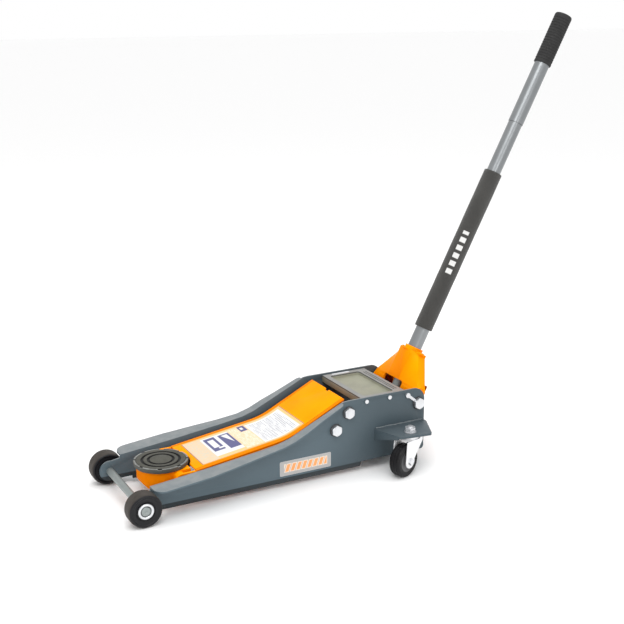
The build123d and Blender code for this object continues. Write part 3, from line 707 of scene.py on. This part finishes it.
def turned_part(name, profile, place, steps=72, closed=True):
    """Spin a profile of (radius, height) points in millimetres round an axis."""
    points = [Vector((radius * MM, 0, height * MM)) for radius, height in profile]
    bpy.ops.object.select_all(action="DESELECT")
    bpy.ops.mesh.primitive_plane_add(size=0.01, location=(0, 0, 0))
    piece = added(name)
    bpy.ops.object.mode_set(mode="EDIT")
    bpy.ops.mesh.select_mode(type="VERT")
    bpy.ops.mesh.select_all(action="SELECT")
    bpy.ops.mesh.merge(type="CENTER")
    bpy.ops.transform.translate(value=points[0])
    for before, after in zip(points, points[1:]):
        bpy.ops.mesh.extrude_vertices_move(TRANSFORM_OT_translate={"value": after - before})
    bpy.ops.mesh.select_all(action="SELECT")
    if closed:
        ends = (points[0], points[-1])
        choose(piece, lambda v: min((v.co - end).length for end in ends) < 1e-7, "VERT")
        bpy.ops.mesh.edge_face_add()
        bpy.ops.mesh.select_all(action="SELECT")
    bpy.ops.mesh.spin(steps=steps, angle=2 * math.pi, center=(0, 0, 0), axis=(0, 0, 1))
    done()
    outward(piece)
    piece.matrix_world = place
    settle(piece)
    return piece


def merged_copy(node, name):
    """A copy of a CAD node with its loose triangles joined into whole faces."""
    only(frame["nodes"][node])
    bpy.ops.object.duplicate()
    piece = added(name)
    piece.parent = None
    for key in list(piece.keys()):
        del piece[key]
    bpy.ops.mesh.customdata_custom_splitnormals_clear()
    editing(piece)
    bpy.ops.mesh.select_all(action="SELECT")
    bpy.ops.mesh.remove_doubles(threshold=2e-6)
    bpy.ops.mesh.dissolve_limited(angle_limit=math.radians(0.6), use_dissolve_boundaries=False)
    done()
    return piece


def eased_copy(node, finish, slot, width, segments=2, angle=30):
    body = frame["nodes"][node]["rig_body"]
    piece = merged_copy(node, node + "_finished")
    eased(piece, width, segments, angle)
    return dress(piece, finish, body, slot, node)


def hex_head(name, place, flats, height, chamfer=1.0):
    """Hexagon head with its corners turned off at the top."""
    across = flats / math.sqrt(3) * MM
    bpy.ops.object.select_all(action="DESELECT")
    bpy.ops.mesh.primitive_cylinder_add(vertices=6, radius=across, depth=height * MM,
                                        location=(0, 0, height * MM / 2))
    head = added(name)
    settle(head)
    top = height * MM
    cone = turned_part(
        name + "_cutter",
        [(0, -2), (flats * 0.7, -2), (flats * 0.7, height - chamfer * 1.5),
         (flats * 0.485, height), (0, height)],
        Matrix.Identity(4), 48, closed=False,
    )
    only(head)
    modify(head, "BOOLEAN", operation="INTERSECT", object=cone, solver="EXACT")
    bpy.data.objects.remove(cone)
    editing(head)
    choose(head, lambda face: face.normal.z > 0.9 and face.calc_center_median().z > top - 1e-5)
    bpy.ops.mesh.inset(thickness=flats * 0.10 * MM)
    bpy.ops.transform.translate(value=(0, 0, -0.35 * MM))
    done()
    eased(head, 0.3 * MM, 2, 25)
    head.matrix_world = place
    settle(head)
    return head


def weld(name, start, finish, radius, body, finish_name, slot):
    """A ripple of weld metal from one point to another."""
    start, finish = Vector(start), Vector(finish)
    run = (finish - start).length
    bpy.ops.object.select_all(action="DESELECT")
    bpy.ops.mesh.primitive_cylinder_add(vertices=14, radius=radius, depth=run, end_fill_type="TRIFAN")
    bead = added(name)
    editing(bead)
    choose(bead, edges_along("Z"), "EDGE")
    bpy.ops.mesh.subdivide(number_cuts=max(4, int(run / (1.1 * MM))))
    done()
    bead.matrix_world = aim((start + finish) / 2, finish - start)
    settle(bead)
    ripple = bpy.data.textures.new(name + "_ripple", "CLOUDS")
    ripple.noise_scale = 2.4 * MM
    modify(bead, "DISPLACE", texture=ripple, texture_coords="LOCAL", strength=radius * 0.9, mid_level=0.5)
    smooth(bead, 60)
    return dress(bead, finish_name, body, slot)


# ------------------------------------------------------------------ operators
class JACK_OT_chassis(bpy.types.Operator):
    """Side plates with rounded folds, caster brackets with their welds, and cross members"""

    bl_idname = "jack.chassis"
    bl_label = "Chassis"

    def execute(self, context):
        s = sizes()
        for side, _ in SIDES:
            eased_copy(f"side_plate_{side}", "chassis", "frame_paint", s.fold)
            eased_copy(f"caster_bracket_{side}", "bracket", "frame_paint", s.edge)
        for node in ("base_plate", "tie_bar", "spring_bar"):
            painted(node, "chassis")
        for side, sign in SIDES:
            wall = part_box(f"caster_bracket_{side}")
            y, z = sign * (PLATE_FACE + 0.4) * MM, wall[1].z
            weld(f"bracket_weld_{side}", (wall[0].x + 6 * MM, y, z), (wall[1].x - 4 * MM, y, z), s.bead,
                 "frame", "chassis", "frame_paint")
        return {"FINISHED"}


class JACK_OT_labels(bpy.types.Operator):
    """Film on the lift arm and a striped badge on each side plate"""

    bl_idname = "jack.labels"
    bl_label = "Labels"

    def execute(self, context):
        film = sizes().film
        axle_x = front_axle_x()
        cover = frame["nodes"]["arm_cover"]
        bpy.ops.object.select_all(action="DESELECT")
        bpy.ops.mesh.primitive_grid_add(
            x_subdivisions=120, y_subdivisions=8, size=1, location=(axle_x - 0.2672, 0, 0.2)
        )
        label = added("arm_label")
        label.scale = (0.2344, 0.1222, 1)
        settle(label)
        modify(label, "SHRINKWRAP", target=cover, wrap_method="PROJECT", use_project_z=True,
               use_negative_direction=True, use_positive_direction=False, offset=0.0)
        editing(label)
        bpy.ops.mesh.select_all(action="SELECT")
        bpy.ops.transform.translate(value=(0, 0, film + 0.10 * MM))
        done()
        modify(label, "SOLIDIFY", thickness=film, offset=-1)
        smooth(label, 40)
        dress(label, "arm_label", "lift_arm", "arm_paint")
        for side, sign in SIDES:
            y = PLATE_FACE * MM + film / 2 + 0.05 * MM
            middle = (axle_x - 0.3695, sign * y, 0.045)
            badge = block(f"side_label_{side}", (0.1215, film, 0.0325), middle)
            editing(badge)
            choose(badge, edges_along("Y"), "EDGE")
            bpy.ops.mesh.bevel(offset=2.2 * MM, segments=5, affect="EDGES")
            done()
            dress(badge, "side_label", "frame", "frame_paint")
        return {"FINISHED"}


class JACK_OT_front_wheels(bpy.types.Operator):
    """Cast front wheels, with a bright ring and the axle end in each"""

    bl_idname = "jack.front_wheels"
    bl_label = "Front wheels"

    def execute(self, context):
        painted("front_axle", "steel")
        for side, sign in SIDES:
            joint = JOINTS[f"front_wheel_{side}_spin"]
            low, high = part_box(f"front_wheel_{side}")
            w = (high.y - low.y) * 1000
            r = (high.z - low.z) * 500
            centre = Vector(joint["pos_m"])
            place = aim(centre - Vector((0, sign * w / 2 * MM, 0)), (0, sign, 0))
            wheel = turned_part(
                f"front_wheel_{side}_cast",
                [(8.1, 0.2), (13, 0.2), (14, 1.6), (27, 2.2), (28.6, 0.8), (31.2, 0.1), (r - 1.6, 1.4),
                 (r - 0.2, 4.6), (r, 8), (r, w - 8), (r - 0.2, w - 4.6), (r - 1.6, w - 1.4), (31.2, w - 0.1),
                 (29.4, w - 0.5), (28.2, w - 2.0), (20.4, w - 2.4), (19.2, w - 4), (8.1, w - 4)],
                place, 96,
            )
            eased(wheel, 0.7 * MM, 3, 20)
            dress(wheel, "wheel", f"front_wheel_{side}", "wheel_paint", f"front_wheel_{side}")
            ring = turned_part(
                f"axle_ring_{side}",
                [(10.9, w - 3), (16.4, w - 3), (16.4, w - 0.4),
                 (15.2, w + 0.5), (12.2, w + 0.5), (10.9, w - 0.6)],
                place, 64,
            )
            eased(ring, 0.5 * MM, 3, 20)
            dress(ring, "zinc", "frame", "zinc", f"axle_cap_{side}")
            core = turned_part(
                f"axle_end_{side}",
                [(0, w - 3.4), (9.9, w - 3.4), (9.9, w - 1.4), (8.8, w - 0.4),
                 (3.2, w), (2.4, w - 0.9), (0, w - 1.3)],
                place, 48, closed=False,
            )
            eased(core, 0.3 * MM, 2, 20)
            dress(core, "steel", "frame", "axle_steel")
        return {"FINISHED"}


class JACK_OT_lift_arm(bpy.types.Operator):
    """Lift arm with folded edges, its hub, roller and pins"""

    bl_idname = "jack.lift_arm"
    bl_label = "Lift arm"

    def execute(self, context):
        s = sizes()
        eased_copy("arm_cover", "arm_cover", "arm_paint", s.fold * 0.8, 3)
        for side, _ in SIDES:
            eased_copy(f"arm_cheek_{side}", "orange", "arm_paint", s.edge)
            eased_copy(f"levelling_rod_{side}", "rods", "rod_paint", s.edge * 0.8)
        for node, finish in (("arm_hub", "orange"), ("lift_roller", "steel"), ("roller_pin", "steel"),
                             ("head_pin", "steel"), ("link_pin", "steel")):
            painted(node, finish)
        return {"FINISHED"}


class JACK_OT_saddle(bpy.types.Operator):
    """Saddle bracket, notched saddle cup and ribbed pad"""

    bl_idname = "jack.saddle"
    bl_label = "Saddle"

    def execute(self, context):
        s = sizes()
        eased_copy("saddle_bracket", "orange", "arm_paint", s.fold)
        eased_copy("saddle", "saddle", "saddle_iron", 0.5 * MM, 2, 28)
        eased_copy("saddle_pad", "pad", "saddle_rubber", 0.5 * MM, 2, 28)
        return {"FINISHED"}


class JACK_OT_tray(bpy.types.Operator):
    """Tool tray with its bright magnet bar"""

    bl_idname = "jack.tray"
    bl_label = "Tool tray"

    def execute(self, context):
        eased_copy("tray", "tray", "tray_paint", 0.5 * MM, 2, 28)
        low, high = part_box("tray")
        middle = (high.x - 42 * MM, low.y + 11 * MM, high.z + 0.3 * MM)
        bar = block("tray_magnet", (0.046, 0.0085, 0.0024), middle)
        editing(bar)
        choose(bar, edges_along("Z"), "EDGE")
        bpy.ops.mesh.bevel(offset=3.9 * MM, segments=6, affect="EDGES")
        choose(bar, lambda face: face.normal.z > 0.9)
        bpy.ops.mesh.inset(thickness=1.0 * MM)
        bpy.ops.transform.translate(value=(0, 0, -0.5 * MM))
        done()
        eased(bar, 0.25 * MM, 2)
        dress(bar, "zinc", "frame", "zinc")
        return {"FINISHED"}


class JACK_OT_fasteners(bpy.types.Operator):
    """Hexagon bolts, shafts and washers of the pivots, screws and the locking strips"""

    bl_idname = "jack.fasteners"
    bl_label = "Fasteners"

    def bolt(self, name, centre, sign, flats):
        place = aim((centre.x, sign * (PLATE_FACE + WASHER_HEIGHT) * MM, centre.z), (0, sign, 0))
        under = aim((centre.x, sign * PLATE_FACE * MM, centre.z), (0, sign, 0))
        head = hex_head(name + "_head", place, flats, HEAD_HEIGHT)
        dress(head, "zinc", "frame", "zinc")
        washer = turned_part(
            name + "_washer",
            [(6.0, 0.05), (flats * 0.64, 0.05), (flats * 0.64, 1.2), (flats * 0.60, WASHER_HEIGHT),
             (6.0, WASHER_HEIGHT)],
            under, 48,
        )
        smooth(washer, 30)
        dress(washer, "rods", "frame", "rod_paint")

    def shaft(self, name, centre, radius, y0, y1, node):
        bpy.ops.object.select_all(action="DESELECT")
        bpy.ops.mesh.primitive_cylinder_add(vertices=48, radius=radius * MM, depth=abs(y1 - y0) * MM)
        shaft = added(name)
        shaft.matrix_world = aim((centre.x, (y0 + y1) / 2 * MM, centre.z), (0, 1, 0))
        settle(shaft)
        eased(shaft, 0.4 * MM, 2)
        dress(shaft, "steel", "frame", "zinc", node)

    def execute(self, context):
        lift = Vector(JOINTS["lift_arm_pivot"]["pos_m"])
        rod = Vector(JOINTS["levelling_rod_swing"]["pos_m"])
        socket = Vector(JOINTS["handle_socket_pivot"]["pos_m"])
        axle_x = front_axle_x()
        screw = Vector((axle_x - STRIP_SCREW[0] * MM, 0, STRIP_SCREW[1] * MM))
        self.shaft("lift_bolt_shaft", lift, 10, -PLATE_FACE, PLATE_FACE, "lift_pivot_bolt")
        for side, sign in SIDES:
            self.bolt(f"lift_bolt_{side}", lift, sign, BOLT_FLATS)
            self.bolt(f"rod_bolt_{side}", rod, sign, BOLT_FLATS)
            self.bolt(f"socket_bolt_{side}", socket, sign, SOCKET_BOLT_FLATS)
            self.shaft(f"rod_bolt_shaft_{side}", rod, 7, sign * 76.5, sign * PLATE_FACE,
                       f"rod_bolt_{side}")
            self.shaft(f"socket_bolt_shaft_{side}", socket, 8, sign * 76, sign * PLATE_FACE,
                       f"socket_bolt_{side}")
            # locking strip between the socket bolt and the screw ahead of it
            run = screw - socket
            strip = block(f"locking_strip_{side}", (6.5 * MM, 1.4 * MM, run.length))
            strip.matrix_world = (
                Matrix.Translation((socket + screw) / 2 + Vector((0, sign * 96.3 * MM, 0)))
                @ Matrix.Rotation(math.atan2(run.x, run.z), 4, "Y")
            )
            settle(strip)
            eased(strip, 0.3 * MM, 2)
            dress(strip, "zinc", "frame", "zinc")
        painted("small_screws", "zinc")
        return {"FINISHED"}


class JACK_OT_socket(bpy.types.Operator):
    """Handle socket, the brace behind its arch, and the pump roller"""

    bl_idname = "jack.socket"
    bl_label = "Handle socket"

    def execute(self, context):
        eased_copy("handle_socket", "orange", "arm_paint", sizes().edge, 2)
        # brace between the lugs, behind the arch; its dark red-brown is painted shade on orange paint
        joint, pivot = JOINTS["handle_twist"], Vector(JOINTS["handle_socket_pivot"]["pos_m"])
        up = Vector(joint["axis"]).normalized()
        back = Vector((-up.z, 0, up.x))
        brace = block("socket_brace", (2 * MM, 160 * MM, 38 * MM))
        brace.matrix_world = (
            Matrix.Translation(pivot + up * 21 * MM + back * 16.5 * MM)
            @ Matrix.Rotation(math.atan2(up.x, up.z), 4, "Y")
        )
        settle(brace)
        eased(brace, 0.4 * MM, 2)
        dress(brace, "orange_shade", "handle_socket", "arm_paint")
        for node, finish in (("pump_roller", "steel"), ("pump_roller_pin", "steel")):
            painted(node, finish)
        return {"FINISHED"}


class JACK_OT_handle(bpy.types.Operator):
    """Two-piece tube, foam sleeve, snap button and end grip"""

    bl_idname = "jack.handle"
    bl_label = "Handle"

    def execute(self, context):
        joint = JOINTS["handle_twist"]
        base, up = Vector(joint["pos_m"]), Vector(joint["axis"]).normalized()
        place = aim(base, up)
        for node, finish in (("handle_lower", "tube"), ("handle_upper", "tube"), ("drive_cup", "steel"),
                             ("snap_button", "zinc")):
            painted(node, finish)
        bore, rim, foot, end = 16.05, FOAM_RADIUS, FOAM_START, FOAM_END
        rows = [(bore, foot + 0.4), (rim - 1, foot + 0.2), (rim - 0.1, foot + 1.4)]
        rows += [(rim, foot + 5 + (end - foot - 9) * k / 90) for k in range(91)]
        rows += [(rim - 0.1, end - 1.2), (rim - 1, end - 0.1), (bore, end - 0.3)]
        sleeve = turned_part("foam_sleeve_soft", rows, place, 56)
        dent = bpy.data.textures.new("foam_dents", "CLOUDS")
        dent.noise_scale = 0.03
        modify(sleeve, "DISPLACE", texture=dent, texture_coords="LOCAL", strength=0.7 * MM,
               mid_level=0.75)
        smooth(sleeve, 50)
        dress(sleeve, "foam", "handle", "foam", "foam_sleeve")
        depth = sizes().rib * 1000
        bore, rim, foot, end = 17.25, GRIP_RADIUS, GRIP_START, GRIP_END
        rows = [(bore, foot + 0.2), (rim - 0.8, foot + 0.2), (rim, foot + 1.2), (rim, foot + 6)]
        for k in range(17):
            rib = foot + 7 + k * 6.2
            rows += [(rim - depth, rib), (rim - depth, rib + 1.6), (rim, rib + 2.4), (rim, rib + 5.6)]
        rows += [(rim, end - 6), (rim, end - 3.5), (rim - 1.2, end - 0.8), (rim - 4, end), (0, end),
                 (0, end - 5), (bore, end - 5)]
        grip = turned_part("end_grip_ribbed", rows, place, 56)
        smooth(grip, 40)
        dress(grip, "grip", "handle", "grip_rubber", "end_grip")
        return {"FINISHED"}


class JACK_OT_casters(bpy.types.Operator):
    """Swivel casters: fork, stud, axle, grooved tyre and hub"""

    bl_idname = "jack.casters"
    bl_label = "Casters"

    def execute(self, context):
        s = sizes()
        for side, _ in SIDES:
            eased_copy(f"caster_yoke_{side}", "fork", "zinc", s.edge * 0.6)
            for node in (f"caster_stud_{side}", f"caster_axle_{side}"):
                painted(node, "zinc")
            joint = JOINTS[f"caster_{side}_roll"]
            place = aim(joint["pos_m"], joint["axis"])
            r, h, d = CASTER_RADIUS, CASTER_HALF_WIDTH, s.tread * 1000
            tread = []
            for line in (-6.4, 0.0, 6.4):
                tread += [(r, line - 1.1), (r - d, line - 0.5), (r - d, line + 0.5), (r, line + 1.1)]
            tyre = turned_part(
                f"caster_tyre_{side}",
                [(24, -h + 2), (29, -h + 0.6), (33, -h + 1.2), (r - 0.8, -h + 3.4), (r, -h + 5.6)] + tread
                + [(r, h - 5.6), (r - 0.8, h - 3.4), (33, h - 1.2), (29, h - 0.6), (24, h - 2)],
                place, 80,
            )
            smooth(tyre, 35)
            dress(tyre, "tyre", f"caster_wheel_{side}", "caster_tyre", f"caster_wheel_{side}")
            hub = turned_part(
                f"caster_hub_{side}",
                [(4.1, -h + 0.2), (8, -h + 0.2), (8.6, -h + 3), (20, -h + 4.4),
                 (21.5, -h + 2.2), (23.9, -h + 2.0), (23.9, h - 2.0), (21.5, h - 2.2),
                 (20, h - 4.4), (8.6, h - 3), (8, h - 0.2), (4.1, h - 0.2)],
                place, 64,
            )
            eased(hub, 0.4 * MM, 2, 20)
            dress(hub, "hub", f"caster_wheel_{side}", "caster_tyre")
        return {"FINISHED"}


class JACK_OT_hydraulics(bpy.types.Operator):
    """Pump block, cylinder, ram, release valve and return springs"""

    bl_idname = "jack.hydraulics"
    bl_label = "Hydraulics"

    def execute(self, context):
        for node in ("pump_body", "cylinder", "cylinder_cradle"):
            eased_copy(node, "unit", "unit_paint", sizes().edge)
        for node, finish in (("ram", "chrome"), ("ram_head", "steel"), ("pump_plunger", "steel"),
                             ("release_valve", "steel"), ("return_spring_left", "spring"),
                             ("return_spring_right", "spring")):
            painted(node, finish)
        return {"FINISHED"}


class JACK_OT_stage(bpy.types.Operator):
    """Pale floor, soft lights and the camera"""

    bl_idname = "jack.stage"
    bl_label = "Stage"

    def soft_light(self, name, place, target, size, power, tint=(1, 1, 1)):
        bpy.ops.object.light_add(type="AREA", location=place)
        lamp = bpy.context.object
        lamp.name = name
        lamp.rotation_mode = "QUATERNION"
        lamp.rotation_quaternion = (Vector(target) - Vector(place)).to_track_quat("-Z", "Y")
        lamp.data.shape, lamp.data.size, lamp.data.energy, lamp.data.color = "DISK", size, power, tint

    def execute(self, context):
        bpy.ops.object.select_all(action="DESELECT")
        bpy.ops.mesh.primitive_plane_add(size=60, location=(0, 0, -0.0006))
        floor = added("studio_floor")
        settle(floor)
        floor.data.materials.append(finish_of("floor"))
        world = bpy.data.worlds.new("studio")
        context.scene.world = world
        world.use_nodes = True
        world.node_tree.nodes["Background"].inputs["Color"].default_value = (1, 1, 1, 1)
        world.node_tree.nodes["Background"].inputs["Strength"].default_value = 1.0
        self.soft_light("key", (0.9, 1.4, 2.6), (0.1, 0, 0.1), 1.6, 26)
        self.soft_light("top", (-0.3, -0.4, 3.0), (0.1, 0, 0.1), 2.4, 18)
        self.soft_light("strip", (0.12, 2.4, 1.05), (-0.3, 0, 0.5), 0.55, 7)
        context.scene.view_settings.view_transform = "Standard"
        context.scene.view_settings.look = "None"
        axle_x = front_axle_x()
        bpy.ops.object.camera_add(location=(axle_x + 0.6431, 2.0369, 0.9891))
        camera = bpy.context.object
        camera.name = "camera"
        forward = Vector((-0.451, -0.851, -0.268)).normalized()
        turn = forward.to_track_quat("-Z", "Y").to_matrix()
        roll = Matrix.Rotation(math.radians(-0.2), 3, "Z")
        camera.rotation_euler = (turn @ roll).to_euler()
        camera.data.sensor_width, camera.data.lens = 36, 1115.5 / 624 * 36
        camera.data.clip_start, camera.data.clip_end = 0.05, 100
        context.scene.camera = camera
        return {"FINISHED"}


OPERATORS = (
    JACK_OT_stage, JACK_OT_chassis, JACK_OT_lift_arm, JACK_OT_labels, JACK_OT_front_wheels, JACK_OT_saddle,
    JACK_OT_tray, JACK_OT_fasteners, JACK_OT_socket, JACK_OT_handle, JACK_OT_casters, JACK_OT_hydraulics,
)


class JACK_PT_panel(bpy.types.Panel):
    """Buttons and settings of the jack"""

    bl_idname = "JACK_PT_panel"
    bl_label = "Trolley Jack"
    bl_space_type = "VIEW_3D"
    bl_region_type = "UI"
    bl_category = "Jack"

    def draw(self, context):
        for operator in OPERATORS:
            self.layout.operator(operator.bl_idname)
        for group in (context.scene.jack_sizes, context.scene.jack_colours):
            for name in group.__annotations__:
                self.layout.prop(group, name)


CLASSES = (JackColours, JackSizes, *OPERATORS, JACK_PT_panel)


def register():
    for item in CLASSES:
        bpy.utils.register_class(item)
    bpy.types.Scene.jack_colours = PointerProperty(type=JackColours)
    bpy.types.Scene.jack_sizes = PointerProperty(type=JackSizes)


def unregister():
    del bpy.types.Scene.jack_colours, bpy.types.Scene.jack_sizes
    for item in reversed(CLASSES):
        bpy.utils.unregister_class(item)


def main():
    register()
    for operator in OPERATORS:
        group, name = operator.bl_idname.split(".")
        getattr(getattr(bpy.ops, group), name)()
    bpy.context.view_layer.update()


if __name__ == "__main__":
    main()
